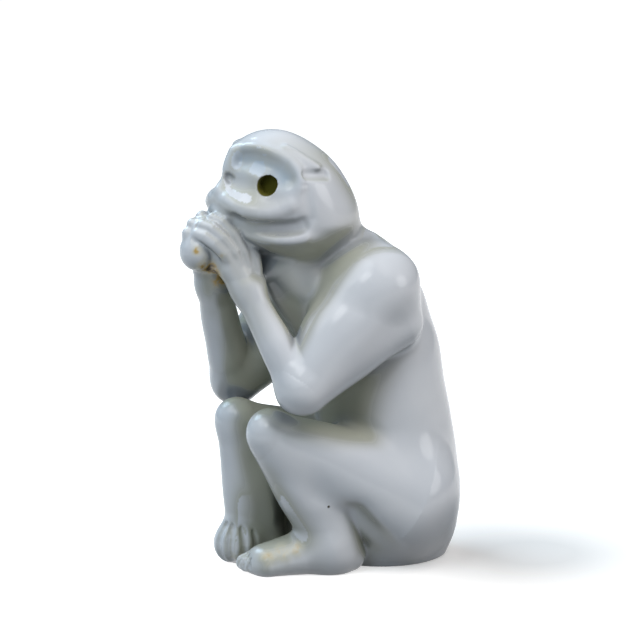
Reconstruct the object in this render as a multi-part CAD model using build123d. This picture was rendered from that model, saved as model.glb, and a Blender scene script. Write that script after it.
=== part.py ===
from build123d import *
import os

# Seated porcelain monkey, hands clasped before its mouth and elbows on its knees.
# The figure is hollow and hand built: each shell or limb is a separate clay piece, luted to its
# neighbours face to face before the glaze firing.  Nothing on it moves.
# Millimetres.  The origin is the middle of the base plate's underside, +Z is up, the monkey
# faces -Y and its left side is +X.

# Torso
TORSO_HEIGHT = 113.0
TORSO_HALF_WIDTH = 27.0
TORSO_HALF_DEPTH = 24.2
TORSO_LEAN = 15.0
TORSO_WALL = 4.5
TORSO_SEAM_FORWARD = 4.0
# Height, lean, half width and half depth of each level, as shares of the four sizes above
TORSO_LEVEL_SHARES = (
    (0.00, 0.00, 0.60, 0.80),
    (0.06, 0.00, 0.86, 0.94),
    (0.26, 0.00, 1.00, 1.00),
    (0.51, 0.10, 0.94, 0.89),
    (0.73, 0.34, 0.84, 0.82),
    (0.88, 0.66, 0.78, 0.70),
    (0.96, 0.92, 0.66, 0.60),
    (1.00, 1.00, 0.42, 0.42),
)

# Base plate, inside the foot of the torso
PLATE_THICKNESS = 4.0
VENT_RADIUS = 3.0
VENT_BACK = 9.0

# Head, its middle placed from the top of the torso
NECK_REACH = 21.6
NECK_RISE = 12.5
HEAD_HALF_WIDTH = 21.5
HEAD_HALF_DEPTH = 19.2
HEAD_HALF_LENGTH = 28.0
HEAD_TILT = 41.0
HEAD_WALL = 4.0
FACE_SEAM_REACH = 0.5

# Throat, from the chest below the top of the torso to the chin below the head's middle
CHEST_REACH = 7.0
CHEST_DROP = 29.0
CHEST_RADIUS = 15.0
CHIN_REACH = 6.4
CHIN_DROP = 18.5
CHIN_RADIUS = 12.0

# Face, placed from the head's middle
MUZZLE_REACH = 9.4
MUZZLE_RISE = 1.3
MUZZLE_HALF_WIDTH = 19.0
MUZZLE_HALF_DEPTH = 20.0
MUZZLE_HALF_HEIGHT = 8.0
JAW_REACH = 6.0
JAW_DROP = 9.3
JAW_HALF_WIDTH = 18.6
JAW_HALF_DEPTH = 17.6
JAW_HALF_HEIGHT = 7.0
SOCKET_OUT = 10.5
SOCKET_REACH = 20.0
SOCKET_RISE = 16.0
SOCKET_HALF_WIDTH = 8.0
SOCKET_HALF_DEPTH = 5.0
SOCKET_HALF_HEIGHT = 3.6
EYE_RADIUS = 3.2
EYE_OUT = 14.0
EYE_REACH = 16.0
EYE_RISE = 8.1
EYE_TURN = 45.0

# Legs, the hips placed from the torso and the ankles from the knees
HIP_INSET = 11.0
HIP_FORWARD = 4.0
HIP_HEIGHT = 24.0
HIP_RADIUS = 19.5
THIGH_RADIUS = 14.0
KNEE_OUT = 12.0
KNEE_FORWARD = 51.0
KNEE_HEIGHT = 50.2
KNEE_RADIUS = 7.0
LEFT_SHIN_RADIUS = 9.0
RIGHT_SHIN_RADIUS = 6.9
ANKLE_RADIUS = 6.8
ANKLE_HEIGHT = 12.0
ANKLE_OUT = 12.0
LEFT_ANKLE_BACK = 22.0
RIGHT_ANKLE_BACK = 2.5

# Calf behind the right shin, and the haunch that sinks to the floor behind it
CALF_BACK = 8.0
CALF_DROP = 8.0
CALF_RADIUS = 8.3
HEEL_DROP = 4.0
HEEL_RADIUS = 6.4
HAUNCH_OUT = 18.0
HAUNCH_FORWARD = 14.0
HAUNCH_HEIGHT = 12.0
HAUNCH_HALF_WIDTH = 12.0
HAUNCH_HALF_DEPTH = 16.0
HAUNCH_HALF_HEIGHT = 11.5

# Feet, placed from the ankles
FOOT_HALF_WIDTH = 7.2
FOOT_TURN = 10.0
LEFT_HEEL_BACK = 11.0
LEFT_FOOT_HEIGHT = 12.0
LEFT_TOE_REACH = 32.5
RIGHT_HEEL_BACK = 14.5
RIGHT_FOOT_HEIGHT = 15.0
RIGHT_TOE_REACH = 9.0
# Way from heel to toes, half width and height of each section, as shares of the foot's sizes
LEFT_FOOT_SHARES = (
    (0.00, 0.45, 0.45),
    (0.10, 0.82, 0.85),
    (0.30, 1.00, 1.00),
    (0.56, 1.05, 0.90),
    (0.86, 1.05, 0.56),
    (1.00, 0.85, 0.32),
)
RIGHT_FOOT_SHARES = (
    (0.00, 0.45, 0.40),
    (0.15, 0.78, 0.75),
    (0.45, 0.90, 1.00),
    (0.75, 1.00, 1.00),
    (0.94, 1.00, 0.96),
    (1.00, 0.80, 0.80),
)
# Height of a section's middle as a share of its top
FOOT_MIDDLE_SHARE = 0.4
TOE_COUNT = 5
LEFT_TOE_LENGTH = 8.0
RIGHT_TOE_LENGTH = 3.0

# Hands, their clasp placed from the head's middle
HANDS_REACH = 30.0
HANDS_DROP = 13.5
HAND_WIDTH = 10.5
HAND_HALF_DEPTH = 9.8
HAND_HALF_LENGTH = 12.5
HAND_TILT = 28.0
PALM_RADIUS = 5.8
PALM_SEAM_OUT = -0.8
FINGER_COUNT = 4
FINGER_PITCH = 4.3
FINGER_LENGTH = 18.0
FINGER_DEPTH = 4.5
FINGER_FAN = 6.0

# Arms, placed from the torso, the knees they rest on and the hands
SHOULDER_INSET = 6.0
SHOULDER_FORWARD = 12.0
SHOULDER_DROP = 16.0
SHOULDER_RADIUS = 13.0
UPPER_ARM_RADIUS = 12.0
ELBOW_ASIDE = 12.5
ELBOW_BACK = 4.5
LEFT_ELBOW_RISE = 15.8
RIGHT_ELBOW_RISE = 11.8
ELBOW_RADIUS = 8.6
FOREARM_RADIUS = 7.5
WRIST_RADIUS = 5.0
WRIST_DROP = 14.0
LEFT_WRIST_OUT = 8.0
LEFT_WRIST_BACK = 9.6
RIGHT_WRIST_OUT = 7.5
RIGHT_WRIST_BACK = 4.2

# Width of the cuts that part fingers and toes
CUT_WIDTH = 0.8

# A joint's swelling stands this share of the limb's radius, so that both lengths run into it
KNUCKLE_SHARE = 1.03


def place(out, forward, height):
    """A point so far to the monkey's left, in front of the base's middle and above the floor."""
    return Vector(out, -forward, height)


def rounded(half_width, half_depth, half_height):
    """An ellipsoid about the origin, with the seam of its surface at the back."""
    return scale(Rot(Z=90) * Sphere(1), by=(half_width, half_depth, half_height))


def ellipsoid(centre, half_width, half_depth, half_height, tilt=0):
    """An ellipsoid about centre, its top tipped forward by tilt degrees."""
    return Pos(*centre) * Rot(X=tilt) * rounded(half_width, half_depth, half_height)


def tapered(start, end, radii):
    """A round limb from start to end through circles of these radii, evenly spaced."""
    run = end - start
    steps = len(radii) - 1
    return loft([Plane(start + run * (i / steps), z_dir=run) * Circle(r) for i, r in enumerate(radii)])


def knuckle(centre, radius):
    """The rounded swelling where two lengths of a limb meet."""
    return Pos(*centre) * Sphere(radius * KNUCKLE_SHARE)


def cut_steps(count):
    """Where the cuts that part so many fingers or toes lie, in steps from the middle one."""
    return [cut - count / 2 for cut in range(1, count)]


def halves(shell, seam):
    """The front and back pieces of a shell that is parted along a seam plane facing forward."""
    return split(shell, bisect_by=seam, keep=Keep.TOP), split(shell, bisect_by=seam, keep=Keep.BOTTOM)


def torso_form(level_shares, inset=0):
    """The torso's form through these levels, or with an inset its hollow."""
    return loft(
        [
            Pos(0, -lean * TORSO_LEAN, level * TORSO_HEIGHT)
            * Ellipse(width * TORSO_HALF_WIDTH - inset, depth * TORSO_HALF_DEPTH - inset)
            for level, lean, width, depth in level_shares
        ]
    )


def make_throat(head_middle):
    """The fold of throat between the chest and the chin."""
    chest = place(0, TORSO_LEAN + CHEST_REACH, TORSO_HEIGHT - CHEST_DROP)
    chin = head_middle + place(0, CHIN_REACH, -CHIN_DROP)
    return tapered(chest, chin, (CHEST_RADIUS, CHIN_RADIUS)) + knuckle(chin, CHIN_RADIUS)


def make_torso(throat):
    """The torso's solid outer form, its two shells, with the throat, and the plate that closes them below."""
    form = torso_form(TORSO_LEVEL_SHARES)
    hollow = torso_form(TORSO_LEVEL_SHARES[:-1], TORSO_WALL)
    seam = Plane(place(0, TORSO_SEAM_FORWARD, 0), z_dir=(0, -TORSO_HEIGHT, -TORSO_LEAN))
    front, back = halves(form + throat - hollow, seam)
    slab = Box(
        2 * TORSO_HALF_WIDTH,
        2 * TORSO_HALF_DEPTH,
        PLATE_THICKNESS,
        align=(Align.CENTER, Align.CENTER, Align.MIN),
    )
    vent = Pos(0, VENT_BACK, 0) * Cylinder(VENT_RADIUS, 2 * PLATE_THICKNESS)
    return form, front, back, (hollow & slab) - vent


def eye_bore(middle, side):
    """The round hole pierced through one eye into the hollow head."""
    mouth = Plane(middle + place(side * EYE_OUT, EYE_REACH, EYE_RISE), z_dir=(0, -1, 0))
    return mouth.rotated((0, 0, side * EYE_TURN)) * Cylinder(EYE_RADIUS, HEAD_HALF_DEPTH)


def head_form(middle):
    """The head's solid outer form: skull with a sunken socket over each eye, muzzle and jaw."""
    skull = ellipsoid(middle, HEAD_HALF_WIDTH, HEAD_HALF_DEPTH, HEAD_HALF_LENGTH, HEAD_TILT)
    for side in (1, -1):
        skull -= ellipsoid(
            middle + place(side * SOCKET_OUT, SOCKET_REACH, SOCKET_RISE),
            SOCKET_HALF_WIDTH,
            SOCKET_HALF_DEPTH,
            SOCKET_HALF_HEIGHT,
        )
    muzzle = ellipsoid(
        middle + place(0, MUZZLE_REACH, MUZZLE_RISE),
        MUZZLE_HALF_WIDTH,
        MUZZLE_HALF_DEPTH,
        MUZZLE_HALF_HEIGHT,
    )
    jaw = ellipsoid(
        middle + place(0, JAW_REACH, -JAW_DROP),
        JAW_HALF_WIDTH,
        JAW_HALF_DEPTH,
        JAW_HALF_HEIGHT,
    )
    return skull + muzzle + jaw


def make_head(form, middle, torso):
    """The head's two shells, face and skull, seated over the top of the torso."""
    hollow = ellipsoid(
        middle,
        HEAD_HALF_WIDTH - HEAD_WALL,
        HEAD_HALF_DEPTH - HEAD_WALL,
        HEAD_HALF_LENGTH - HEAD_WALL,
        HEAD_TILT,
    )
    shell = form - hollow - torso - eye_bore(middle, 1) - eye_bore(middle, -1)
    return halves(shell, Plane(middle + place(0, FACE_SEAM_REACH, 0), z_dir=(0, -1, 0)))


def make_leg(side, knee, ankle, shin_radius):
    """One leg: hip, thigh, knee and shin, down to the ankle."""
    hip = place(side * (TORSO_HALF_WIDTH - HIP_INSET), HIP_FORWARD, HIP_HEIGHT)
    thigh = tapered(hip, knee, (HIP_RADIUS, THIGH_RADIUS, KNEE_RADIUS))
    shin = tapered(knee, ankle, (KNEE_RADIUS, shin_radius, ANKLE_RADIUS))
    return knuckle(hip, HIP_RADIUS) + thigh + knuckle(knee, KNEE_RADIUS) + shin


def make_calf(knee, ankle):
    """The calf behind a shin that stands upright."""
    top = knee + place(0, -CALF_BACK, -CALF_DROP)
    heel = ankle + place(0, -CALF_BACK, -HEEL_DROP)
    return tapered(top, heel, (CALF_RADIUS, CALF_RADIUS, HEEL_RADIUS))


def make_haunch(side):
    """The lower haunch under the hip."""
    middle = place(side * HAUNCH_OUT, HAUNCH_FORWARD, HAUNCH_HEIGHT)
    return ellipsoid(middle, HAUNCH_HALF_WIDTH, HAUNCH_HALF_DEPTH, HAUNCH_HALF_HEIGHT)


def own_side(side, form):
    """The part of a form on its own side of the figure's middle."""
    return split(form, bisect_by=Plane.YZ, keep=Keep.TOP if side > 0 else Keep.BOTTOM)


def make_foot(side, ankle, heel_back, height, toe_reach, toe_length, section_shares):
    """One foot, flat below and turned in a little, from the heel behind the ankle to five toes."""
    length = heel_back + toe_reach
    foot = loft(
        [
            Plane((0, heel_back - way * length, 0), x_dir=(1, 0, 0), z_dir=(0, -1, 0))
            * Pos(0, FOOT_MIDDLE_SHARE * top * height)
            * Ellipse(width * FOOT_HALF_WIDTH, (1 - FOOT_MIDDLE_SHARE) * top * height)
            for way, width, top in section_shares
        ]
    )
    for step in cut_steps(TOE_COUNT):
        aside = step * 2 * FOOT_HALF_WIDTH / TOE_COUNT
        foot -= Pos(aside, -toe_reach, 0) * Box(CUT_WIDTH, 2 * toe_length, 2 * height)
    foot = split(foot, bisect_by=Plane.XY, keep=Keep.TOP)
    return Pos(ankle.X, ankle.Y, 0) * Rot(Z=-side * FOOT_TURN) * foot


def make_arm(side, knee, elbow_rise, wrist):
    """One arm: upper arm, elbow over the knee, forearm and wrist."""
    shoulder = place(
        side * (TORSO_HALF_WIDTH - SHOULDER_INSET), SHOULDER_FORWARD, TORSO_HEIGHT - SHOULDER_DROP
    )
    elbow = knee + place(side * ELBOW_ASIDE, -ELBOW_BACK, elbow_rise)
    upper = tapered(shoulder, elbow, (SHOULDER_RADIUS, UPPER_ARM_RADIUS, ELBOW_RADIUS))
    forearm = tapered(elbow, wrist, (ELBOW_RADIUS, FOREARM_RADIUS, WRIST_RADIUS))
    arm = upper + knuckle(shoulder, SHOULDER_RADIUS) + knuckle(elbow, ELBOW_RADIUS)
    return arm + forearm + knuckle(wrist, WRIST_RADIUS)


def make_hand(side, middle, wrist):
    """One hand of the clasped pair, on its own side of the seam: palm, heel and four fingers."""
    hand = ellipsoid(middle, HAND_WIDTH, HAND_HALF_DEPTH, HAND_HALF_LENGTH, HAND_TILT)
    for step in cut_steps(FINGER_COUNT):
        laid = Rot(X=HAND_TILT) * Pos(side * HAND_WIDTH, -step * FINGER_PITCH, 0) * Rot(X=step * FINGER_FAN)
        hand -= Pos(*middle) * laid * Box(2 * FINGER_DEPTH, CUT_WIDTH, FINGER_LENGTH)
    seam = Plane.YZ.offset(PALM_SEAM_OUT)
    hand = split(hand, bisect_by=seam, keep=Keep.TOP if side > 0 else Keep.BOTTOM)
    heel = middle + place(side * HAND_WIDTH / 2, 0, 0)
    return hand + tapered(wrist, heel, (WRIST_RADIUS, PALM_RADIUS, PALM_RADIUS))


# Each smaller piece is cut to the larger ones that it is luted to
head_middle = place(0, TORSO_LEAN + NECK_REACH, TORSO_HEIGHT + NECK_RISE)
head = head_form(head_middle)
throat = make_throat(head_middle) - head
torso, torso_front, torso_back, base_plate = make_torso(throat)
face_shell, skull_shell = make_head(head, head_middle, torso)

left_knee = place(KNEE_OUT, KNEE_FORWARD, KNEE_HEIGHT)
right_knee = place(-KNEE_OUT, KNEE_FORWARD, KNEE_HEIGHT)
left_ankle = place(ANKLE_OUT, KNEE_FORWARD - LEFT_ANKLE_BACK, ANKLE_HEIGHT)
right_ankle = place(-ANKLE_OUT, KNEE_FORWARD - RIGHT_ANKLE_BACK, ANKLE_HEIGHT)
left_foot = make_foot(
    1, left_ankle, LEFT_HEEL_BACK, LEFT_FOOT_HEIGHT, LEFT_TOE_REACH, LEFT_TOE_LENGTH, LEFT_FOOT_SHARES
)
right_foot = make_foot(
    -1, right_ankle, RIGHT_HEEL_BACK, RIGHT_FOOT_HEIGHT, RIGHT_TOE_REACH, RIGHT_TOE_LENGTH, RIGHT_FOOT_SHARES
)
left_leg = make_leg(1, left_knee, left_ankle, LEFT_SHIN_RADIUS)
right_leg = make_leg(-1, right_knee, right_ankle, RIGHT_SHIN_RADIUS)
right_leg += make_calf(right_knee, right_ankle) + make_haunch(-1)
left_leg = own_side(1, left_leg) - torso - left_foot
right_leg = own_side(-1, right_leg) - torso - right_foot
left_foot -= torso
right_foot -= torso

hands_middle = head_middle + place(0, HANDS_REACH, -HANDS_DROP)
left_wrist = hands_middle + place(LEFT_WRIST_OUT, -LEFT_WRIST_BACK, -WRIST_DROP)
right_wrist = hands_middle + place(-RIGHT_WRIST_OUT, -RIGHT_WRIST_BACK, -WRIST_DROP)
left_arm = make_arm(1, left_knee, LEFT_ELBOW_RISE, left_wrist) - torso - throat - head - left_leg
right_arm = make_arm(-1, right_knee, RIGHT_ELBOW_RISE, right_wrist) - torso - throat - head - right_leg
left_hand = make_hand(1, hands_middle, left_wrist) - head - left_arm
right_hand = make_hand(-1, hands_middle, right_wrist) - head - right_arm - left_hand

pieces = {
    "torso_front": torso_front,
    "torso_back": torso_back,
    "base_plate": base_plate,
    "face_shell": face_shell,
    "skull_shell": skull_shell,
    "left_arm": left_arm,
    "right_arm": right_arm,
    "left_hand": left_hand,
    "right_hand": right_hand,
    "left_leg": left_leg,
    "right_leg": right_leg,
    "left_foot": left_foot,
    "right_foot": right_foot,
}
os.makedirs("parts", exist_ok=True)
for name, piece in pieces.items():
    export_step(piece, f"parts/{name}.step")
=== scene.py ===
import math

import bpy
import numpy as np
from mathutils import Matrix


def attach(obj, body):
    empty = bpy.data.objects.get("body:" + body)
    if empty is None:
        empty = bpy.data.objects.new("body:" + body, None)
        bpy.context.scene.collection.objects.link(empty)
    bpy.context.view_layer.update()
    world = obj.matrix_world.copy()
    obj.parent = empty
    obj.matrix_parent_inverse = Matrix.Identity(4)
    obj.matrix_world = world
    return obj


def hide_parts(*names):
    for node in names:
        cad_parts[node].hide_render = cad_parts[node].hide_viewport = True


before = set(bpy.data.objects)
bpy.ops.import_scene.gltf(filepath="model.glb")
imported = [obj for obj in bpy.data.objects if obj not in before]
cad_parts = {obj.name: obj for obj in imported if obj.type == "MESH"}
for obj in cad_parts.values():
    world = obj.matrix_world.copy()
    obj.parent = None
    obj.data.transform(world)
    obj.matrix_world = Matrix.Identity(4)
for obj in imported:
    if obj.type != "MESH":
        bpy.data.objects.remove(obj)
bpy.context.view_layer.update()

import openvdb
from mathutils import Vector

# The glazed figure is modelled as one field of distances to its surface, in millimetres in the
# CAD frame: the monkey faces -Y and its left side is +X.  The field is meshed once, and the mesh
# is then parted into the thirteen clay pieces.
MM = 0.001
X, Y, Z = range(3)
MIRROR = (-1, 1, 1)
TINY = 1e-6
PIECES = (
    "torso_front", "torso_back", "base_plate", "face_shell", "skull_shell",
    "left_arm", "right_arm", "left_hand", "right_hand",
    "left_leg", "right_leg", "left_foot", "right_foot",
)

# Meshing: the box sampled, the finest cell, and blocks of cells that are filled only near the surface
FIGURE_BOX = np.array(((-40.0, -84.0, -3.0), (40.0, 30.0, 156.0)))
VOXEL = 0.6
BLOCK = 4
CLOSE_BLOCKS = 2.2
OUTSIDE = 10.0
CHUNK = 200000
SLOPE_STEP = 0.04
LEAST_SLOPE = 0.2
SURFACE_ROUNDS = 2
TETRAHEDRON = np.array(((1, -1, -1), (-1, -1, 1), (-1, 1, -1), (1, 1, 1)), float)

# Wall of a piece: its thickness, the least, the depths probed for clay and the share of it that is used
WALL = 2.0
LEAST_WALL = 0.2
WALL_PROBES = (0.7, 1.4, WALL)
WALL_SHARE = 0.7

# In what follows a limb is its start, its end, the radius at each and how much fuller its middle is.
# A worked line is its width, its depth (negative stands proud) and its points.  A changing fillet is
# its size, and for each change the amount, the axis and where along that axis it starts and ends.

# Arms.  The end of an upper arm or forearm is the radius there and how much fuller its middle is
SHOULDER = np.array((20.3, -16.2, 96.6))
SHOULDER_RADIUS = 13.6
UPPER_ARM_END = (7.5, 2.4)
ARM_BACK = np.array((22.0, -9.5, 86.0))
ARM_BACK_END = np.array((0.0, 3.0, -0.5))
ARM_BACK_RADII = (9.6, 6.6)
ARM_BACK_FILLET = 5.0
FOREARM_RADIUS = 7.4
ELBOW_FILLET = 4.0
CROOK_CHANGE = -2.2
CROOK_HEIGHTS = (2, 18)
LEFT_ELBOW = np.array((24.0, -46.0, 66.8))
LEFT_WRIST = np.array((8.0, -57.0, 98.0))
LEFT_FOREARM_END = (5.0, -0.4)
RIGHT_ELBOW = np.array((24.5, -46.5, 62.0))
RIGHT_WRIST = np.array((7.5, -62.4, 98.0))
RIGHT_FOREARM_END = (5.2, 0.4)
ARMS_FILLET = (2.5, (0.5, Z, 66, 82), (8, Z, 82, 104))

# Torso levels: height, lean, half width and half depth
TORSO_LEVELS = np.array(
    (
        (0.0, 0.0, 19.0, 21.4),
        (6.8, 0.0, 24.0, 23.4),
        (29.4, 0.0, 27.0, 24.2),
        (57.6, 1.5, 25.4, 21.5),
        (82.5, 5.1, 22.7, 19.8),
        (99.4, 9.9, 21.1, 16.9),
        (108.5, 13.8, 17.8, 14.5),
        (113.0, 15.0, 11.3, 10.2),
    )
)
TORSO_TOP = TORSO_LEVELS[-1, 0]
TORSO_TOP_FILLET = 6.0
TORSO_FILLET = (1.5, (3.5, Z, 8, 30), (4, Y, -16, 2))
SEAM_POINT = np.array((0.0, -4.0, 0.0))
SEAM_FACING = np.array((0.0, -113.0, -15.0)) / math.hypot(113.0, 15.0)
THROAT = (np.array((0.0, -40.0, 106.0)), np.array((0.0, -21.0, 84.0)), 10.5, 14.5)
THROAT_FILLET = 6.0
NECK_SLOPE = (np.array((6.0, -15.0, 105.0)), SHOULDER, 10.4, 13.2)
NECK_SLOPE_FILLET = 4.0

# Base plate inside the torso's foot, and the firing vent in it
BASE_PLATE_SEMI = (13.0, 15.5)
BASE_PLATE_TOP = 0.5
BASE_RIM = 0.6
VENT = np.array((0.0, 9.0))
VENT_RADIUS = 3.0
VENT_DEPTH = 3.0
VENT_RIM = 0.5

# Head, which narrows behind and below toward the nape
HEAD = np.array((0.0, -36.6, 125.5))
HEAD_SEMI = (21.5, 19.2, 28.0)
HEAD_TILT = 41.0
HEAD_BOX = np.array(((-22.0, -67.0, 98.0), (22.0, -8.0, 152.0)))
HEAD_FILLET = (2.0, (3.5, Y, -36, -22))
NAPE_NARROWING = 0.28
NAPE_HEIGHTS = (120, 104)
NAPE_DEPTHS = (-46, -34)
FACE_SEAM = -37.1
MUZZLE = np.array((0.0, -46.0, 124.5))
MUZZLE_SEMI = (18.5, 20.1, 12.0)
MUZZLE_FILLET = 2.5
JAW = np.array((0.0, -42.6, 116.2))
JAW_SEMI = (19.4, 17.8, 7.0)
JAW_FILLET = 3.0

# Eyes, pierced at an angle from straight ahead
EYE = np.array((14.0, -52.6, 133.4))
EYE_RADIUS = 3.25
EYE_DEPTH = 3.2
EYE_TURN = math.radians(45.0)
EYE_AXIS = np.array((math.sin(EYE_TURN), -math.cos(EYE_TURN), 0.0))
EYE_RIM = 0.6
EYE_COLOUR_EDGE = 0.25

# Lines worked into the left side of the face and mirrored
BROW_HOLLOW = ((5.2, -57.6, 141.4), (8.7, -55.9, 141.4), (11.8, -53.8, 140.5),
               (14.4, -51.4, 139.2), (16.1, -49.4, 137.8), (17.4, -48.2, 135.8))
WORKED_REACH = 6
FACE_LINES = (
    # Bridge of the nose
    (3.4, -2.1, ((0, -58.2, 143.6), (0, -60.2, 140.0), (0, -62.0, 136.0), (0, -63.4, 132.0))),
    # Hollow under the brow, the brow itself, the fold of the cap behind it and the notch under that
    (2.9, 3.0, BROW_HOLLOW),
    (1.9, -0.9, ((4.5, -55.7, 145.4), (8.4, -53.2, 145.6), (11.7, -50.5, 144.8), (14.0, -48.0, 143.6),
                 (16.0, -45.3, 141.9), (17.8, -43.7, 139.3), (19.1, -42.9, 136.5), (20.1, -42.7, 133.0))),
    (1.6, -1.2, ((13.0, -45.0, 145.4), (14.6, -42.6, 143.8), (16.0, -40.2, 141.8), (17.4, -36.0, 138.9))),
    (1.4, 3.0, ((19.2, -41.0, 136.9), (18.8, -37.5, 136.6), (17.9, -33.2, 136.4))),
    # Edge of the face beside the cheek
    (1.8, 0.9, ((20.3, -41.8, 133.0), (20.9, -41.4, 130.1), (21.1, -40.8, 126.6), (20.9, -40.3, 122.6))),
    # Nostrils
    (1.2, 1.7, ((1.7, -60.8, 135.3), (2.6, -60.5, 134.7))),
    # Lower edge of the cheek, the mouth below it in front and at the side, and the lower lip
    (2.2, -1.5, ((5.1, -63.0, 128.6), (9.2, -62.1, 127.0), (12.7, -59.8, 125.6), (15.3, -56.8, 124.9),
                 (16.7, -54.0, 124.9), (17.9, -50.0, 125.5), (19.2, -47.0, 126.9))),
    (1.8, 0.5, ((0, -65.2, 126.4), (3.4, -64.8, 125.6), (6.7, -64.0, 124.0), (9.7, -62.4, 122.2))),
    (1.8, 3.2, ((9.7, -62.4, 122.2), (12.0, -60.2, 120.8), (14.5, -57.0, 119.9), (16.7, -52.8, 119.5),
                (18.0, -48.0, 119.5), (19.2, -44.6, 119.9), (20.1, -42.6, 120.6))),
    (2.0, -0.8, ((10.2, -58.6, 116.7), (13.5, -55.2, 115.9), (16.8, -51.3, 115.4), (18.8, -46.9, 115.3),
                 (19.8, -41.9, 115.8))),
)

# Legs
HIP = np.array((16.0, -4.0, 24.0))
KNEE = np.array((12.0, -51.0, 50.2))
THIGH = (HIP, KNEE, 20.0, 7.0, 0.5)
LEFT_SHIN = (KNEE, np.array((12.0, -29.0, 12.0)), 7.0, 7.0, 2.0)
LEFT_CALF = (np.array((13.0, -31.5, 25.0)), np.array((13.2, -27.2, 8.0)), 9.6, 9.6)
LEFT_KNEE_FILLET = (1.0, (4.0, Z, 12, 40))
RIGHT_SHIN = (KNEE, np.array((12.0, -48.5, 12.0)), 7.0, 6.4, 0.2)
RIGHT_CALF = (np.array((12.0, -43.0, 42.2)), np.array((12.0, -40.5, 8.0)), 8.3, 6.6, 0.6)
RIGHT_KNEE_FILLET = 4.0
CALF_FILLET = 4.0
HAUNCH = np.array((17.0, -18.0, 12.0))
HAUNCH_SEMI = (12.0, 20.0, 12.0)
HAUNCH_FILLET = 4.0
LEGS_FILLET = 1.5
# Where the thigh falls back behind the left heel
HEEL_FOLD = (4.6, 3.6, ((24.5, -25.5, 22.0), (26.5, -18.5, 13.0), (28.0, -13.0, 4.0)))

# Left foot, drawn about its middle and made wider; its five toes from base to tip, and the line between
# two of them over their tops and down their tips
FEET_BOX = np.array(((-20.0, -64.0, 0.0), (24.0, -14.0, 16.0)))
LEFT_FOOT_MIDDLE = (12.0, 0, 0)
LEFT_FOOT_SQUEEZE = (0.72, 1, 1)
LEFT_SOLE = (np.array((0.4, -22.2, 5.4)), np.array((-4.6, -50.0, 4.0)), 6.0, 5.2, 0.1)
LEFT_INSTEP = (np.array((0.0, -31.0, 10.5)), np.array((-4.4, -49.5, 5.2)), 6.4, 4.4)
INSTEP_FILLET = 4.0
LEFT_TOES = tuple(
    (np.array((2.8 + 2.4 * i, -47.0 + 0.6 * i, 6.8 - 0.2 * i)),
     np.array((-0.8 + 2.6 * i, -54.6 + 0.42 * (i - 0.6) ** 2, 3.4)))
    for i in range(5)
)
LEFT_TOE_RADII = (3.1, 2.7)
LEFT_TOE_FILLET = 0.8
LEFT_GROOVE_WIDTH = 0.7
LEFT_GROOVE_DEPTH = 1.0
LEFT_GROOVE_BASE = (0, 0, 3.0)
LEFT_GROOVE_TIP = (0, -1.6, 2.2)
LEFT_GROOVE_END = (0, -2.7, -0.4)
FEET_FILLET = 1.0
ANKLES_FILLET = (1.0, (3.0, Y, -22, -34))

# The right foot stands on its toes, which grooves part like the segments of a ball: the turn of each in
# degrees, and the heights over the ball, in degrees too, at which their points lie
TOE_BALL = np.array((-11.6, -51.7, 7.4))
TOE_BALL_SEMI = np.array((8.2, 8.2, 8.0))
BALL_GROOVE_TURNS = (10.0, 45.0, 81.0, 114.0)
BALL_GROOVE_LIFTS = (-70, 80, 9)
BALL_GROOVE_WIDTH = 1.0
BALL_GROOVE_DEPTH = 2.2
RIGHT_HEEL = (np.array((-11.8, -45.0, 5.0)), np.array((-12.0, -38.0, 5.0)), 6.0, 5.5)
RIGHT_HEEL_FILLET = 2.0

# Hands.  A palm is its heel and the radius at the wrist and at the heel.  Each finger of the left hand
# runs from wrist to tip, and the right hand's mirror them
HANDS = np.array((0.0, -64.2, 113.2))
HANDS_SEMI = (7.0, 7.5, 10.0)
HANDS_TILT = 28.0
HANDS_BOX = np.array(((-11.0, -77.0, 92.0), (11.0, -50.0, 124.0)))
LEFT_PALM = (np.array((5.5, -61.5, 106.0)), 4.8, 5.0)
RIGHT_PALM = (np.array((5.0, -64.5, 107.0)), 5.2, 5.0)
PALM_FILLET = 3.0
PALM_SEAM = -0.8
PALM_OVERLAP = 2.0
RIGHT_HAND_FORWARD = np.array((0, 1.8, 0))
FIST = np.array((-1.2, -71.4, 110.8))
FIST_SEMI = (6.8, 5.6, 6.2)
FIST_FILLET = 2.4
CLASP_FILLET = 0.8
WRISTS_FILLET = (4.0, (-3.2, Z, 100, 106))
FINGER_RADII = (2.4, 2.1)
FINGER_FILLET = 0.9
FINGERS = (
    ((7.7, -54.8, 101.5), (7.8, -54.0, 105.0), (8.4, -54.8, 109.4),
     (7.6, -57.6, 116.4), (5.4, -60.4, 120.4), (3.0, -62.2, 122.4)),
    ((7.9, -57.2, 102.5), (7.9, -57.0, 106.0), (8.5, -58.6, 111.0),
     (7.7, -62.0, 117.2), (5.4, -64.4, 120.8), (2.4, -66.6, 122.0)),
    ((7.8, -59.6, 103.0), (7.9, -59.8, 106.8), (8.5, -62.2, 111.4),
     (7.5, -65.8, 116.2), (5.2, -68.2, 119.0), (2.2, -70.0, 119.8)),
    ((7.2, -61.8, 103.5), (7.7, -62.6, 107.2), (8.0, -65.4, 111.2),
     (6.8, -68.4, 114.4), (4.6, -70.6, 116.4), (2.0, -72.0, 117.0)),
)

# Slow waves across the surface, in radians for each millimetre along X, Y and Z
WOBBLE = 0.45
WOBBLE_WAVES = np.array(((0.21, 0.13, 0.06), (-0.11, 0.24, 0.17), (0.05, -0.15, 0.30), (0.28, 0.09, -0.22)))

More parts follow.
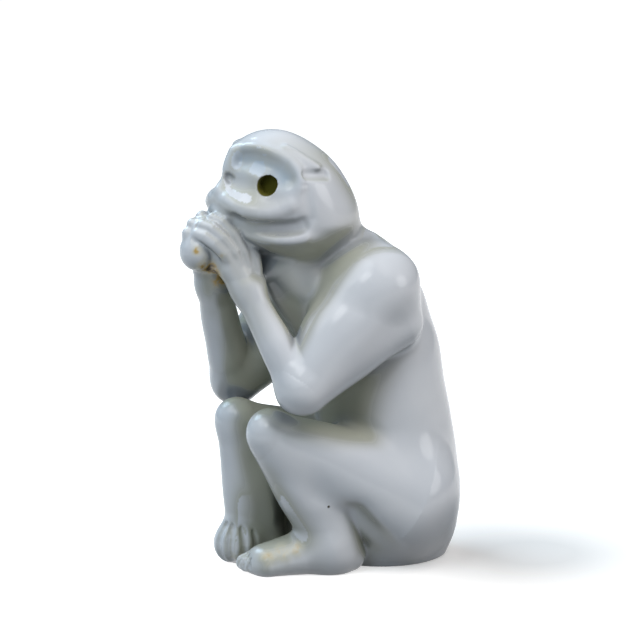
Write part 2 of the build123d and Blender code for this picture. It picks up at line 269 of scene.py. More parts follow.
# Glaze and bare clay.  Colours along a range are pairs of a place from 0 to 1 and the colour there.  A
# noise is its scale and detail, a span is a factor's low and high and what they become, and a bump is its
# strength and depth
GLAZE_MOTTLE_NOISE = (45, 3)
GLAZE_MOTTLE = ((0.3, (0.655, 0.668, 0.700)), (0.7, (0.705, 0.712, 0.735)))
GLAZE_BLUE = (0.36, 0.47, 0.57)
# Painted shade: the glaze darkened to olive-grey and near black in wide hollows and between the legs
PAINTED_HOLLOW_SHADE = ((0.4, (0.44, 0.44, 0.385)), (0.86, (0.45, 0.45, 0.37)), (1, (0.12, 0.12, 0.10)))
PAINTED_HOLLOW_SHADE_SPAN = (0, 0.6, 0, 1)
# Painted shade: creases and folds, such as under the arms, greyed
PAINTED_CREASE_SHADE = (0.20, 0.20, 0.205)
PAINTED_CREASE_SHADE_SPAN = (0, 1, 0, 0.7)
STAIN_NOISE = (420, 2)
STAIN_BLOTCHES = (0.3, 0.6, 0.45, 1.15)
STAIN_COLOURS = ((0.2, (0.65, 0.60, 0.44)), (0.5, (0.56, 0.38, 0.14)), (0.9, (0.12, 0.08, 0.03)))
STAIN_SPAN = (0.05, 0.45, 0, 1)
SPECK_CELLS = 70
SPECK_SPAN = (0.016, 0.026, 1, 0)
SPECK_FEWNESS = 0.80
SPECK_BROWN = (0.05, 0.035, 0.025)
# Olive glaze in the eyes, darkened as painted shade for the depth of the pierced holes
EYE_OLIVE_AND_HOLE_SHADE = (0.10, 0.094, 0.009)
GLOSS_NOISE = (160, 2)
GLOSS_SPAN = (0.3, 0.7, 0.10, 0.18)
GLOSS_HOLLOW_SPAN = (0.02, 0.8, 0.1, 0.42)
GLAZE_IOR = 1.5
GLAZE_BUMP_NOISE = (190, 2)
GLAZE_BUMP = (0.05, 0.001)
BISQUE_NOISE = (900, 5)
BISQUE_GRAIN = ((0.3, (0.50, 0.44, 0.37)), (0.7, (0.68, 0.63, 0.56)))
BISQUE_ROUGHNESS_SPAN = (0.3, 0.7, 0.7, 0.95)
BISQUE_BUMP = (0.4, 0.0006)
SCORCH_NOISE = (60, 2)
SCORCH_SPAN = (0.45, 0.75, 0, 0.6)
SCORCH_BROWN = (0.50, 0.34, 0.20)

# Where the glaze changes, and where shade is painted on it: how far above the surface clay nearby counts,
# and the crowding at which each change starts and is full.  Low on the figure glaze pools less; painted
# shade darkens wide hollows, creases and the gap between the legs
POOL_REACH, POOL_RANGE = 4.0, (0.08, 0.9)
CREASE_REACH, CREASE_RANGE = 9.0, (0.12, 0.65)
HOLLOW_REACH, HOLLOW_RANGE = 28.0, (0.14, 1.0)
GAP_REACH, GAP_RANGE = 12.0, (0.7, 1.0)
HOLLOW_SHARE = 0.86
GAP_SHARE = 0.14
POOL_BLUE = 0.35
POOL_LOST_LOW = 0.7
POOL_CLEARS_HOLLOW = 0.8
HOLLOW_CLEARS_CREASE = (0.0, 0.8)
LOW_HEIGHTS = (45, 25)
BROW_BLUE = 0.85
BROW_SPREAD = 4.2

# Iron stains in the glaze, and under the fist painted shade: place, spread and strength, from pale yellow
# to brown
IRON_STAINS_AND_SHADE = (
    ((4.8, -73.9, 112.1), 1.5, 0.56),
    # Under the fist: brown stain broadened and darkened as painted shade between the fist and the wrists
    ((4.0, -71.4, 106.8), 2.0, 0.7),
    ((2.1, -67.6, 105.6), 3.0, 1.0),
    ((3.2, -66.3, 104.3), 2.6, 0.95),
    ((-1.0, -62.4, 101.1), 3.2, 0.75),
    ((9.2, -67.0, 110.5), 1.4, 0.3),
    ((11.5, -51.6, 7.5), 3.0, 0.34),
    ((13.0, -47.1, 9.0), 4.0, 0.30),
    ((14.9, -42.8, 10.3), 3.0, 0.34),
    ((-6.2, -54.9, 4.1), 2.0, 0.3),
)
SPECK = np.array((22.6, -34.4, 25.2))
SPECK_RADIUS = 0.42
SPECK_EDGE = 1.6

# Camera, and the floor that glows white except near the figure, where its shadow stays and the glow falls
# away as painted shadow about a point behind the figure, all in metres
CAMERA_AZIMUTH = 62.0
CAMERA_ELEVATION = 10.0
CAMERA_DISTANCE = 0.9
CAMERA_LENS = 150.9
TARGET = Vector((0.008, -0.030, 0.086))
FLOOR_SIZE = 24
FLOOR_ROUGHNESS = 0.9
FLOOR_COLOURS = ((0, (0.24, 0.24, 0.24)), (1, (0.80, 0.775, 0.75)))
# Middle of the painted shadow, where the floor's glow falls away
PAINTED_SHADOW_MIDDLE = (0.025, 0.045, 0.0)
GLOW_REACH = (0.015, 0.10)
GLOW_RANGE = (0.06, 0.95)

# Light: azimuth and elevation in degrees, distance and size in metres, watts, colour, seen in the glaze
SKY = (0.62, 0.83, 1.0, 1)
SKY_STRENGTH = 0.17
LAMPS = {
    "left_window": (-70, 44, 1.0, 0.6, 4.8, (0.60, 0.82, 1.0), True),
    "right_softbox": (108, 56, 1.0, 0.7, 5.0, (1.0, 0.95, 0.925), False),
    "overhead_softbox": (0, 60, 0.9, 0.75, 2.6, (0.97, 0.99, 1.0), True),
    "front_fill": (25, 30, 1.0, 0.6, 2.0, (0.72, 0.88, 1.0), False),
    "near_softbox": (42, 48, 0.9, 0.28, 0.65, (1, 1, 1), True),
    "right_window": (136, 19, 0.9, 0.50, 1.4, (1, 1, 1), True),
}


def length(v):
    return np.sqrt((v * v).sum(-1))


def ramp(x, start, end):
    """Goes smoothly from 0 at start to 1 at end."""
    t = np.clip((x - start) / (end - start), 0, 1)
    return t * t * (3 - 2 * t)


def changing(p, size, *changes):
    """A fillet that changes across the figure."""
    for amount, axis, start, end in changes:
        size = size + amount * ramp(p[:, axis], start, end)
    return size


def join(a, b, fillet):
    """The union of two forms, with a fillet of this size where they meet."""
    h = np.clip(0.5 + 0.5 * (b - a) / fillet, 0, 1)
    return b + (a - b) * h - fillet * h * (1 - h)


def cut(a, b, fillet):
    """The first form less the second, with the edge between them rounded."""
    return -join(-a, b, fillet)


def left_half(p):
    """Points with those on the right side mirrored to the left."""
    return np.stack((np.abs(p[:, X]), p[:, Y], p[:, Z]), axis=1)


def tilted(angle):
    """Turns points so that a form tipped forward by this angle stands upright."""
    c, s = math.cos(math.radians(angle)), math.sin(math.radians(angle))
    return np.array(((1, 0, 0), (0, c, -s), (0, s, c)))


def rounded(q, semi):
    """About the distance to an ellipse or ellipsoid around the origin."""
    near = length(q / semi)
    return near * (near - 1) / np.maximum(length(q / semi**2), TINY)


def ellipsoid(p, centre, semi, turn=None):
    q = p - centre
    if turn is not None:
        q = q @ turn
    return rounded(q, np.array(semi))


def limb(p, start, end, start_radius, end_radius, swell=0.0):
    """A round limb between two points, its middle fuller by swell."""
    run = end - start
    t = np.clip((p - start) @ run / (run @ run), 0, 1)
    radius = start_radius + (end_radius - start_radius) * t + 4 * swell * t * (1 - t)
    return length(p - start - t[:, None] * run) - radius


def path_distance(p, path):
    path = np.array(path, float)
    return np.min([limb(p, a, b, 0, 0) for a, b in zip(path[:-1], path[1:])], axis=0)


def worked(field, p, lines):
    """The form with lines pressed into it or raised on it."""
    near = np.abs(field) < WORKED_REACH
    q = p[near]
    field = field.copy()
    for width, depth, path in lines:
        field[near] += depth * np.exp(-((path_distance(q, path) / width) ** 2))
    return field


def smooth_levels(levels, count=200):
    """The torso's levels at many heights, on a smooth curve through them."""
    z = levels[:, 0]
    slope = np.gradient(levels, z, axis=0)
    heights = np.linspace(z[0], z[-1], count)
    i = np.clip(np.searchsorted(z, heights, side="right") - 1, 0, len(z) - 2)
    step = (z[i + 1] - z[i])[:, None]
    t = (heights[:, None] - z[i][:, None]) / step
    return (
        levels[i] * (1 + 2 * t) * (1 - t) ** 2
        + slope[i] * step * t * (1 - t) ** 2
        + levels[i + 1] * t * t * (3 - 2 * t)
        + slope[i + 1] * step * t * t * (t - 1)
    )


def toe_groove(toe, neighbour):
    """The line between two toes of the left foot."""
    base, tip = (np.array(toe) + np.array(neighbour)) / 2
    path = (base + LEFT_GROOVE_BASE, tip + LEFT_GROOVE_TIP, tip + LEFT_GROOVE_END)
    return LEFT_GROOVE_WIDTH, LEFT_GROOVE_DEPTH, path


def ball_groove(turn):
    """A line over the ball of the right foot's toes, at this turn from straight ahead."""
    around = np.array((math.sin(turn), -math.cos(turn), 0.0))
    lift = np.radians(np.linspace(*BALL_GROOVE_LIFTS))[:, None]
    path = TOE_BALL + TOE_BALL_SEMI * (np.cos(lift) * around + np.sin(lift) * (0, 0, 1))
    return BALL_GROOVE_WIDTH, BALL_GROOVE_DEPTH, path


TORSO_CURVE = smooth_levels(TORSO_LEVELS)
LEFT_GROOVES = [toe_groove(*pair) for pair in zip(LEFT_TOES[:-1], LEFT_TOES[1:])]
BALL_GROOVES = [ball_groove(turn) for turn in np.radians(BALL_GROOVE_TURNS)]


def torso(p):
    lean, wide, deep = (np.interp(p[:, Z], TORSO_CURVE[:, 0], TORSO_CURVE[:, i]) for i in (1, 2, 3))
    q = np.stack((p[:, X], p[:, Y] + lean), axis=1)
    side = rounded(q, np.stack((wide, deep), axis=1))
    trunk = cut(side, TORSO_TOP - p[:, Z], TORSO_TOP_FILLET)
    trunk = join(trunk, limb(p, *THROAT), THROAT_FILLET)
    return join(trunk, limb(left_half(p), *NECK_SLOPE), NECK_SLOPE_FILLET)


def head(p):
    q = left_half(p)
    skull = q.copy()
    skull[:, X] *= 1 + NAPE_NARROWING * ramp(p[:, Z], *NAPE_HEIGHTS) * ramp(p[:, Y], *NAPE_DEPTHS)
    form = ellipsoid(skull, HEAD, HEAD_SEMI, tilted(HEAD_TILT))
    form = join(form, ellipsoid(q, JAW, JAW_SEMI), JAW_FILLET)
    form = join(form, ellipsoid(q, MUZZLE, MUZZLE_SEMI), MUZZLE_FILLET)
    return worked(form, q, FACE_LINES)


def arm(q, elbow, wrist, forearm_end):
    """An arm as if it were the left: upper arm, the flesh behind it, and forearm."""
    upper = limb(q, SHOULDER, elbow, SHOULDER_RADIUS, *UPPER_ARM_END)
    back = limb(q, ARM_BACK, elbow + ARM_BACK_END, *ARM_BACK_RADII)
    fore = limb(q, elbow, wrist, FOREARM_RADIUS, *forearm_end)
    fillet = ELBOW_FILLET + CROOK_CHANGE * ramp(q[:, Z] - elbow[Z], *CROOK_HEIGHTS)
    return join(join(upper, back, ARM_BACK_FILLET), fore, fillet)


def left_leg(p):
    thigh = worked(limb(p, *THIGH), p, [HEEL_FOLD])
    lower = join(limb(p, *LEFT_SHIN), limb(p, *LEFT_CALF), CALF_FILLET)
    return join(thigh, lower, changing(p, *LEFT_KNEE_FILLET))


def right_leg(q):
    """The right leg, as if it were on the left side."""
    thigh = join(limb(q, *THIGH), ellipsoid(q, HAUNCH, HAUNCH_SEMI), HAUNCH_FILLET)
    lower = join(limb(q, *RIGHT_SHIN), limb(q, *RIGHT_CALF), CALF_FILLET)
    return join(thigh, lower, RIGHT_KNEE_FILLET)


def left_foot(p):
    q = (p - LEFT_FOOT_MIDDLE) * LEFT_FOOT_SQUEEZE
    form = join(limb(q, *LEFT_SOLE), limb(q, *LEFT_INSTEP), INSTEP_FILLET)
    for base, tip in LEFT_TOES:
        form = join(form, limb(p, base, tip, *LEFT_TOE_RADII), LEFT_TOE_FILLET)
    return worked(form, p, LEFT_GROOVES)


def right_foot(p):
    ball = worked(ellipsoid(p, TOE_BALL, TOE_BALL_SEMI), p, BALL_GROOVES)
    return join(ball, limb(p, *RIGHT_HEEL), RIGHT_HEEL_FILLET)


def hand(q, wrist, palm, wrist_radius, palm_radius):
    """One hand of the clasped pair, as if it were the left: back, palm and four fingers."""
    form = ellipsoid(q, HANDS, HANDS_SEMI, tilted(HANDS_TILT))
    form = join(form, limb(q, wrist, palm, wrist_radius, palm_radius), PALM_FILLET)
    for finger in FINGERS:
        radii = np.linspace(*FINGER_RADII, len(finger))
        runs = zip(np.array(finger[:-1]), np.array(finger[1:]), radii[:-1], radii[1:])
        form = join(form, np.min([limb(q, *run) for run in runs], axis=0), FINGER_FILLET)
    return form


def left_hand(p):
    """The monkey's left hand, laid over the other, on its own side of the palm seam."""
    form = hand(p, LEFT_WRIST, *LEFT_PALM)
    return np.maximum(form, PALM_SEAM - p[:, X])


def right_hand(p):
    """The right hand, a little further forward, its knuckles balled in front of the left."""
    form = hand(p * MIRROR + RIGHT_HAND_FORWARD, RIGHT_WRIST + RIGHT_HAND_FORWARD, *RIGHT_PALM)
    form = np.maximum(form, p[:, X] - PALM_SEAM - PALM_OVERLAP)
    return join(form, ellipsoid(p, FIST, FIST_SEMI), FIST_FILLET)


def only_near(form, p, box, margin=9.0):
    """A form worked out only near its box; further off, the distance to the box stands for it."""
    low, high = box
    field = length(np.maximum(np.maximum(low - p, p - high), 0))
    near = field < margin
    if near.any():
        field[near] = form(p[near])
    return field


def forms(p):
    """The distance to each clay piece's own form."""
    mirrored = p * MIRROR
    return {
        "torso": torso(p),
        "head": only_near(head, p, HEAD_BOX),
        "left_arm": arm(p, LEFT_ELBOW, LEFT_WRIST, LEFT_FOREARM_END),
        "right_arm": arm(mirrored, RIGHT_ELBOW, RIGHT_WRIST, RIGHT_FOREARM_END),
        "left_hand": only_near(left_hand, p, HANDS_BOX),
        "right_hand": only_near(right_hand, p, HANDS_BOX),
        "left_leg": left_leg(p),
        "right_leg": right_leg(mirrored),
        "left_foot": only_near(left_foot, p, FEET_BOX),
        "right_foot": only_near(right_foot, p, FEET_BOX),
    }


def eye_bore(p):
    """Distance to the nearer of the two round holes pierced for the eyes."""
    q = left_half(p) - EYE
    along = q @ EYE_AXIS
    return np.maximum(length(q - along[:, None] * EYE_AXIS) - EYE_RADIUS, -EYE_DEPTH - along)


def vent_bore(p):
    """Distance to the firing vent."""
    return np.maximum(length(p[:, :2] - VENT) - VENT_RADIUS, p[:, Z] - VENT_DEPTH)


def hand_wobble(p):
    """The slight unevenness of a surface worked by hand, in millimetres."""
    waves = np.sin(p @ WOBBLE_WAVES.T + np.arange(len(WOBBLE_WAVES)))
    return WOBBLE * waves.mean(1)


def figure(p):
    """The distance to the whole figure's surface, all its pieces run together under the glaze."""
    part = forms(p)
    body = join(part["left_leg"], part["right_leg"], LEGS_FILLET)
    feet = join(part["left_foot"], part["right_foot"], FEET_FILLET)
    body = join(body, feet, changing(p, *ANKLES_FILLET))
    body = join(body, part["torso"], changing(p, *TORSO_FILLET))
    arms = np.minimum(part["left_arm"], part["right_arm"])
    body = join(body, arms, changing(p, *ARMS_FILLET))
    body = join(body, part["head"], changing(p, *HEAD_FILLET))
    hands = join(part["left_hand"], part["right_hand"], CLASP_FILLET)
    body = join(body, hands, changing(p, *WRISTS_FILLET))
    body = cut(body + hand_wobble(p), eye_bore(p), EYE_RIM)
    return cut(cut(body, p[:, Z], BASE_RIM), vent_bore(p), VENT_RIM)


def in_chunks(function, p):
    return np.concatenate([function(p[i : i + CHUNK]) for i in range(0, len(p), CHUNK)])


def gradient(field, p):
    """The field's slope at each point, from the corners of a small tetrahedron about it."""
    slope = np.zeros(p.shape)
    for corner in TETRAHEDRON:
        slope += corner * in_chunks(field, p + SLOPE_STEP * corner)[:, None]
    return slope / (4 * SLOPE_STEP)


def cells_of(counts):
    """The places of all cells in a grid of this many along each axis."""
    return np.stack(np.meshgrid(*[np.arange(n) for n in counts], indexing="ij"), axis=-1)


def meshed(field, low, high):
    """Points and quads of a field's surface inside a box, sampled only near the surface."""
    blocks = np.ceil((high - low) / (VOXEL * BLOCK)).astype(int)
    grid = cells_of(blocks)
    middles = low + (grid + 0.5) * BLOCK * VOXEL
    coarse = in_chunks(field, middles.reshape(-1, 3)).reshape(blocks)
    samples = np.repeat(np.repeat(np.repeat(coarse, BLOCK, 0), BLOCK, 1), BLOCK, 2)
    close = np.abs(coarse) < CLOSE_BLOCKS * BLOCK * VOXEL
    inner = cells_of([BLOCK] * 3).reshape(-1, 3)
    cells = (grid[close][:, None] * BLOCK + inner).reshape(-1, 3)
    samples[tuple(cells.T)] = in_chunks(field, low + cells * VOXEL)
    volume = openvdb.FloatGrid(background=OUTSIDE)
    volume.copyFromArray(samples.astype(np.float32))
    points, quads = volume.convertToQuads(isovalue=0.0)
    points = low + np.array(points, float) * VOXEL
    for _ in range(SURFACE_ROUNDS):
        slope = gradient(field, points)
        shift = in_chunks(field, points) / np.maximum((slope * slope).sum(1), LEAST_SLOPE)
        points -= slope * np.clip(shift, -VOXEL, VOXEL)[:, None]
    return points, np.array(quads, int)


def facing_out(points, quads, normals):
    """The quads, with those that face inward turned round."""
    a, b, c = (points[quads[:, i]] for i in (0, 1, 2))
    inward = (np.cross(b - a, c - a) * normals[quads[:, 0]]).sum(1) < 0
    quads[inward] = quads[inward][:, ::-1]
    return quads


def piece_of(p):
    """Which clay piece each point of the surface belongs to, as a place in PIECES."""
    part = forms(p)
    names = list(part)
    nearest = np.argmin(np.stack([part[name] for name in names]), axis=0)
    label = np.array([PIECES.index(n) if n in PIECES else -1 for n in names])[nearest]
    on_torso = nearest == names.index("torso")
    on_head = nearest == names.index("head")
    front = (p - SEAM_POINT) @ SEAM_FACING > 0
    label[on_torso] = np.where(front[on_torso], PIECES.index("torso_front"), PIECES.index("torso_back"))
    face = p[:, Y] < FACE_SEAM
    label[on_head] = np.where(face[on_head], PIECES.index("face_shell"), PIECES.index("skull_shell"))
    on_plate = length(p[:, :2] / BASE_PLATE_SEMI) < 1
    label[on_torso & on_plate & (p[:, Z] < BASE_PLATE_TOP)] = PIECES.index("base_plate")
    return label


def settled(labels, quads, rounds=6):
    """Labels without stray single faces: each face takes the label most of its corners hold."""
    corners = quads.max() + 1
    for _ in range(rounds):
        votes = np.zeros((corners, len(PIECES)))
        for i in range(4):
            np.add.at(votes, (quads[:, i], labels), 1.0)
        labels = votes[quads].sum(1).argmax(1)
    return labels


def wall_depth(points, normals):
    """How far each point's inner face is set in: less where the clay is thin."""
    depth = np.max([-in_chunks(figure, points - normals * probe) for probe in WALL_PROBES], axis=0)
    return np.clip(WALL_SHARE * depth, LEAST_WALL, WALL)


def shell(points, normals, depth, quads):
    """A closed thin-walled piece: its outer face, the same face set in by depth, and the rim."""
    used, faces = np.unique(quads, return_inverse=True)
    faces = faces.reshape(-1, 4)
    outer = points[used]
    inner = outer - normals[used] * depth[used][:, None]
    edges = np.concatenate([faces[:, (i, (i + 1) % 4)] for i in range(4)])
    there = set(map(tuple, edges))
    rim = np.array([(a, b) for a, b in map(tuple, edges) if (b, a) not in there], int).reshape(-1, 2)
    count = len(used)
    walls = np.stack((rim[:, 1], rim[:, 0], rim[:, 0] + count, rim[:, 1] + count), axis=1)
    return used, np.concatenate((outer, inner)), np.concatenate((faces, faces[:, ::-1] + count, walls))


def crowded(points, normals, reach):
    """How far the clay near each point fills the space this far above it, from 0 to 1."""
    return np.clip(1 - in_chunks(figure, points + normals * reach) / reach, 0, 1)


def surface_looks(points, normals):
    """What the glaze does at each point of the surface, and the shade painted on it in hollows, creases and
    between the legs, each from 0 to 1.
    """
    iron = np.zeros(len(points))
    # Iron stains; under the fist they are partly painted shade
    for place, spread, strength in IRON_STAINS_AND_SHADE:
        iron = np.maximum(iron, strength * np.exp(-((length(points - np.array(place)) / spread) ** 2)))
    from_brow = path_distance(left_half(points), BROW_HOLLOW)
    brow = BROW_BLUE * np.exp(-((from_brow / BROW_SPREAD) ** 2))
    low = ramp(points[:, Z], *LOW_HEIGHTS)
    pool = ramp(crowded(points, normals, POOL_REACH), *POOL_RANGE) * (1 - POOL_LOST_LOW * low)
    # Painted shade in wide hollows, less where the glaze pools
    hollow_shade = HOLLOW_SHARE * ramp(crowded(points, normals, HOLLOW_REACH), *HOLLOW_RANGE)
    hollow_shade = hollow_shade * (1 - POOL_CLEARS_HOLLOW * np.maximum(pool, brow))
    # Painted shade in creases, away from the hollows and the low parts
    crease_shade = ramp(crowded(points, normals, CREASE_REACH), *CREASE_RANGE)
    # Painted shade in the gap between the legs, low on the figure
    gap_shade = ramp(crowded(points, normals, GAP_REACH), *GAP_RANGE)
    return {
        "blue": np.maximum(POOL_BLUE * pool, brow),
        "crease_shade": crease_shade * (1 - ramp(hollow_shade, *HOLLOW_CLEARS_CREASE)) * (1 - low),
        "hollow_shade": hollow_shade + GAP_SHARE * low * gap_shade,
        "iron": iron,
    }


def node_tree(name):
    material = bpy.data.materials.new(name)
    material.use_nodes = True
    tree = material.node_tree
    return material, tree, tree.nodes["Principled BSDF"]


def attribute(tree, name):
    node = tree.nodes.new("ShaderNodeAttribute")
    node.attribute_name = name
    return node.outputs["Fac"]


def object_place(tree):
    return tree.nodes.new("ShaderNodeTexCoord").outputs["Object"]


def noise(tree, scale, detail):
    node = tree.nodes.new("ShaderNodeTexNoise")
    node.inputs["Scale"].default_value = scale
    node.inputs["Detail"].default_value = detail
    tree.links.new(object_place(tree), node.inputs["Vector"])
    return node.outputs["Fac"]


def ramped(tree, factor, stops):
    """Colours along a factor: each stop is its place from 0 to 1 and its colour."""
    node = tree.nodes.new("ShaderNodeValToRGB")
    elements = node.color_ramp.elements
    while len(elements) < len(stops):
        elements.new(0.5)
    for element, (place, colour) in zip(elements, stops):
        element.position = place
        element.color = (*colour, 1)
    tree.links.new(factor, node.inputs["Fac"])
    return node.outputs["Color"]


def spanned(tree, factor, low, high, start, end):
    """A factor's range from low to high, drawn out to run from start to end."""
    node = tree.nodes.new("ShaderNodeMapRange")
    for name, value in zip(("From Min", "From Max", "To Min", "To Max"), (low, high, start, end)):
        node.inputs[name].default_value = value
    tree.links.new(factor, node.inputs["Value"])
    return node.outputs["Result"]


def reckoned(tree, operation, a, b):
    """Two factors, or a factor and a number, put together by one operation."""
    node = tree.nodes.new("ShaderNodeMath")
    node.operation = operation
    for socket, value in zip(node.inputs, (a, b)):
        if isinstance(value, float):
            socket.default_value = value
        else:
            tree.links.new(value, socket)
    return node.outputs["Value"]


def vector_step(tree, operation, vector, by=(0, 0, 0)):
    """One reckoning with a vector: the node's outputs, Vector or Value."""
    node = tree.nodes.new("ShaderNodeVectorMath")
    node.operation = operation
    node.inputs[1].default_value = by
    tree.links.new(vector, node.inputs[0])
    return node.outputs


def tinted(tree, under, factor, colour):
    """The colour under it, going over to another colour as the factor rises."""
    node = tree.nodes.new("ShaderNodeMix")
    node.data_type = "RGBA"
    tree.links.new(factor, node.inputs[0])
    tree.links.new(under, node.inputs[6])
    if isinstance(colour, tuple):
        node.inputs[7].default_value = (*colour, 1)
    else:
        tree.links.new(colour, node.inputs[7])
    return node.outputs[2]


def bumped(tree, shader, height, strength, depth):
    node = tree.nodes.new("ShaderNodeBump")
    node.inputs["Strength"].default_value = strength
    node.inputs["Distance"].default_value = depth
    tree.links.new(height, node.inputs["Height"])
    tree.links.new(node.outputs["Normal"], shader.inputs["Normal"])


def iron_specks(tree):
    """Where the few small dark specks of iron in the clay lie: 1 on a speck, 0 elsewhere."""
    cells = tree.nodes.new("ShaderNodeTexVoronoi")
    cells.inputs["Scale"].default_value = SPECK_CELLS
    tree.links.new(object_place(tree), cells.inputs["Vector"])
    small = spanned(tree, cells.outputs["Distance"], *SPECK_SPAN)
    few = reckoned(tree, "GREATER_THAN", cells.outputs["Color"], SPECK_FEWNESS)
    return reckoned(tree, "MULTIPLY", small, few)


def large_speck(tree):
    """The one larger speck of iron, on the left shin: 1 on it, 0 elsewhere."""
    away = vector_step(tree, "DISTANCE", object_place(tree), SPECK * MM)["Value"]
    return spanned(tree, away, SPECK_RADIUS * MM, SPECK_EDGE * SPECK_RADIUS * MM, 1, 0)


def eye_mask(tree):
    """1 in the two pierced eyes and 0 outside them, by the distance from the axis of each bore."""
    folded = vector_step(tree, "ABSOLUTE", object_place(tree))["Vector"]
    from_eye = vector_step(tree, "SUBTRACT", folded, np.abs(EYE) * MM)["Vector"]
    across = vector_step(tree, "CROSS_PRODUCT", from_eye, np.abs(EYE_AXIS))["Vector"]
    away = vector_step(tree, "LENGTH", across)["Value"]
    return spanned(tree, away, EYE_RADIUS * MM, (EYE_RADIUS + EYE_COLOUR_EDGE) * MM, 1, 0)


def glaze_colour(tree, hollow_shade, pit):
    """Mottled cool white, blue where glaze pools, painted shade olive-grey to near black in hollows and
    grey in creases, stained by iron, and under the fist browned further as painted shade; dark olive in the
    eyes, partly painted shade.
    """
    colour = ramped(tree, noise(tree, *GLAZE_MOTTLE_NOISE), GLAZE_MOTTLE)
    colour = tinted(tree, colour, attribute(tree, "blue"), GLAZE_BLUE)
    # Painted shade: hollows and the gap between the legs darkened
    deep = spanned(tree, hollow_shade, *PAINTED_HOLLOW_SHADE_SPAN)
    colour = tinted(tree, colour, deep, ramped(tree, hollow_shade, PAINTED_HOLLOW_SHADE))
    # Painted shade in creases
    crease_shade = spanned(tree, attribute(tree, "crease_shade"), *PAINTED_CREASE_SHADE_SPAN)
    colour = tinted(tree, colour, crease_shade, PAINTED_CREASE_SHADE)
    blotches = spanned(tree, noise(tree, *STAIN_NOISE), *STAIN_BLOTCHES)
    # Iron stains, and under the fist painted shade
    stain_and_shade = reckoned(tree, "MULTIPLY", attribute(tree, "iron"), blotches)
    strength = spanned(tree, stain_and_shade, *STAIN_SPAN)
    colour = tinted(tree, colour, strength, ramped(tree, stain_and_shade, STAIN_COLOURS))
    specks = reckoned(tree, "MAXIMUM", iron_specks(tree), large_speck(tree))
    colour = tinted(tree, colour, specks, SPECK_BROWN)
    # The eyes' dark olive, partly painted shade in the shallow bores
    return tinted(tree, colour, pit, EYE_OLIVE_AND_HOLE_SHADE)


def glaze_material():
    """Glossy glaze, less so in hollows and dull in the eyes."""
    material, tree, shader = node_tree("porcelain_glaze")
    hollow_shade = attribute(tree, "hollow_shade")
    pit = eye_mask(tree)
    tree.links.new(glaze_colour(tree, hollow_shade, pit), shader.inputs["Base Color"])
    roughness = spanned(tree, noise(tree, *GLOSS_NOISE), *GLOSS_SPAN)
    roughness = reckoned(tree, "MAXIMUM", roughness, spanned(tree, hollow_shade, *GLOSS_HOLLOW_SPAN))
    roughness = reckoned(tree, "MAXIMUM", roughness, pit)
    tree.links.new(roughness, shader.inputs["Roughness"])
    shader.inputs["IOR"].default_value = GLAZE_IOR
    bumped(tree, shader, noise(tree, *GLAZE_BUMP_NOISE), *GLAZE_BUMP)
    return material


def bisque_material():
    """Bare unglazed clay, sandy and dry, browned a little by the fire."""
    material, tree, shader = node_tree("bare_bisque")
    grain = noise(tree, *BISQUE_NOISE)
    colour = ramped(tree, grain, BISQUE_GRAIN)
    scorch = spanned(tree, noise(tree, *SCORCH_NOISE), *SCORCH_SPAN)
    tree.links.new(tinted(tree, colour, scorch, SCORCH_BROWN), shader.inputs["Base Color"])
    tree.links.new(spanned(tree, grain, *BISQUE_ROUGHNESS_SPAN), shader.inputs["Roughness"])
    bumped(tree, shader, grain, *BISQUE_BUMP)
    return material


def add(name, data):
    """A new object in the scene."""
    thing = bpy.data.objects.new(name, data)
    bpy.context.scene.collection.objects.link(thing)
    return thing


def piece_mesh(name, corners, faces, outward, looks):
    """A smooth mesh with its own normals, and what the glaze does and the shade painted on it at each
    corner.
    """
    mesh = bpy.data.meshes.new(name)
    mesh.from_pydata(corners * MM, [], faces.tolist())
    for look, values in looks.items():
        layer = mesh.attributes.new(look, "FLOAT", "POINT")
        layer.data.foreach_set("value", values.astype(np.float32))
    mesh.shade_smooth()
    mesh.normals_split_custom_set_from_vertices(outward.tolist())
    return mesh


def make_figure():
    points, quads = meshed(figure, *FIGURE_BOX)
    normals = gradient(figure, points)
    normals /= np.maximum(length(normals), TINY)[:, None]
    quads = facing_out(points, quads, normals)
    labels = settled(piece_of(points[quads].mean(1)), quads)
    depth = wall_depth(points, normals)
    looks = surface_looks(points, normals)
    glaze, bisque = glaze_material(), bisque_material()
    for number, name in enumerate(PIECES):
        used, corners, faces = shell(points, normals, depth, quads[labels == number])
        outward = np.concatenate((normals[used], -normals[used]))
        on_piece = {look: np.tile(values[used], 2) for look, values in looks.items()}
        mesh = piece_mesh(name + "_glazed", corners, faces, outward, on_piece)
        piece = add(name + "_glazed", mesh)
        bare = name == "base_plate"
        mesh.materials.append(bisque if bare else glaze)
        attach(piece, "root")
        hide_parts(name)


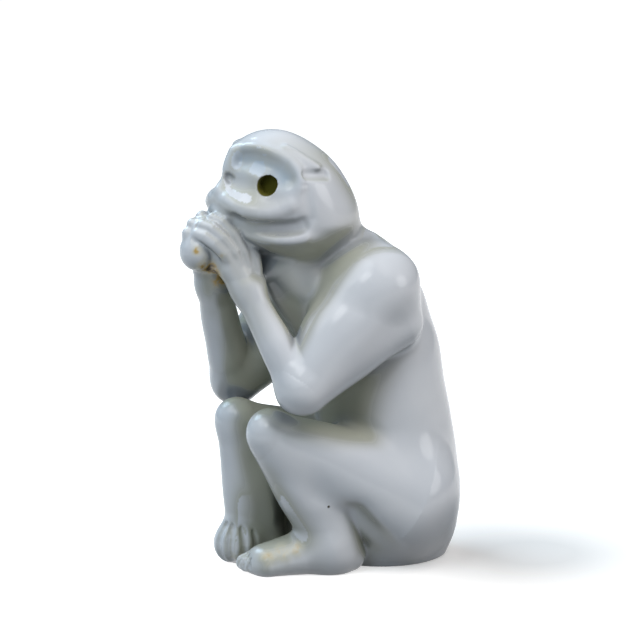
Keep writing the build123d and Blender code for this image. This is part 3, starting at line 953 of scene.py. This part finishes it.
def make_floor():
    bpy.ops.mesh.primitive_plane_add(size=FLOOR_SIZE)
    floor = bpy.context.object
    floor.name = "floor"
    material, tree, shader = node_tree("white_floor")
    shader.inputs["Roughness"].default_value = FLOOR_ROUGHNESS
    shader.inputs["Emission Color"].default_value = (1, 1, 1, 1)
    path = tree.nodes.new("ShaderNodeLightPath").outputs
    shade = ramped(tree, path["Is Camera Ray"], FLOOR_COLOURS)
    tree.links.new(shade, shader.inputs["Base Color"])
    seen = reckoned(tree, "ADD", path["Is Camera Ray"], path["Is Glossy Ray"])
    seen = reckoned(tree, "ADD", seen, path["Is Transmission Ray"])
    # Painted shadow: the glow falls away near a point behind the figure, around its real shadow
    away = vector_step(tree, "DISTANCE", object_place(tree), PAINTED_SHADOW_MIDDLE)["Value"]
    glow = spanned(tree, away, *GLOW_REACH, *GLOW_RANGE)
    tree.links.new(reckoned(tree, "MULTIPLY", seen, glow), shader.inputs["Emission Strength"])
    floor.data.materials.append(material)


def aim(thing, azimuth, elevation, distance):
    """Puts a camera or lamp in this direction from the target, turned toward it."""
    azimuth, elevation = math.radians(azimuth), math.radians(elevation)
    level = math.cos(elevation)
    back = Vector((math.sin(azimuth) * level, -math.cos(azimuth) * level, math.sin(elevation)))
    thing.location = TARGET + distance * back
    thing.rotation_euler = back.to_track_quat("Z", "Y").to_euler()


def make_lamp(name, azimuth, elevation, distance, size, power, colour, mirrored):
    light = bpy.data.lights.new(name, "AREA")
    light.shape = "ELLIPSE"
    light.size = size
    light.size_y = size
    light.energy = power
    light.color = colour
    lamp = add(name, light)
    lamp.visible_glossy = mirrored
    aim(lamp, azimuth, elevation, distance)


def make_light():
    world = bpy.data.worlds.new("studio")
    bpy.context.scene.world = world
    world.use_nodes = True
    sky = world.node_tree.nodes["Background"]
    sky.inputs["Color"].default_value = SKY
    sky.inputs["Strength"].default_value = SKY_STRENGTH
    for name, lamp in LAMPS.items():
        make_lamp(name, *lamp)


def make_camera():
    camera = add("camera", bpy.data.cameras.new("camera"))
    camera.data.lens = CAMERA_LENS
    aim(camera, CAMERA_AZIMUTH, CAMERA_ELEVATION, CAMERA_DISTANCE)
    bpy.context.scene.camera = camera


make_figure()
make_floor()
make_light()
make_camera()
bpy.context.scene.view_settings.view_transform = "Standard"
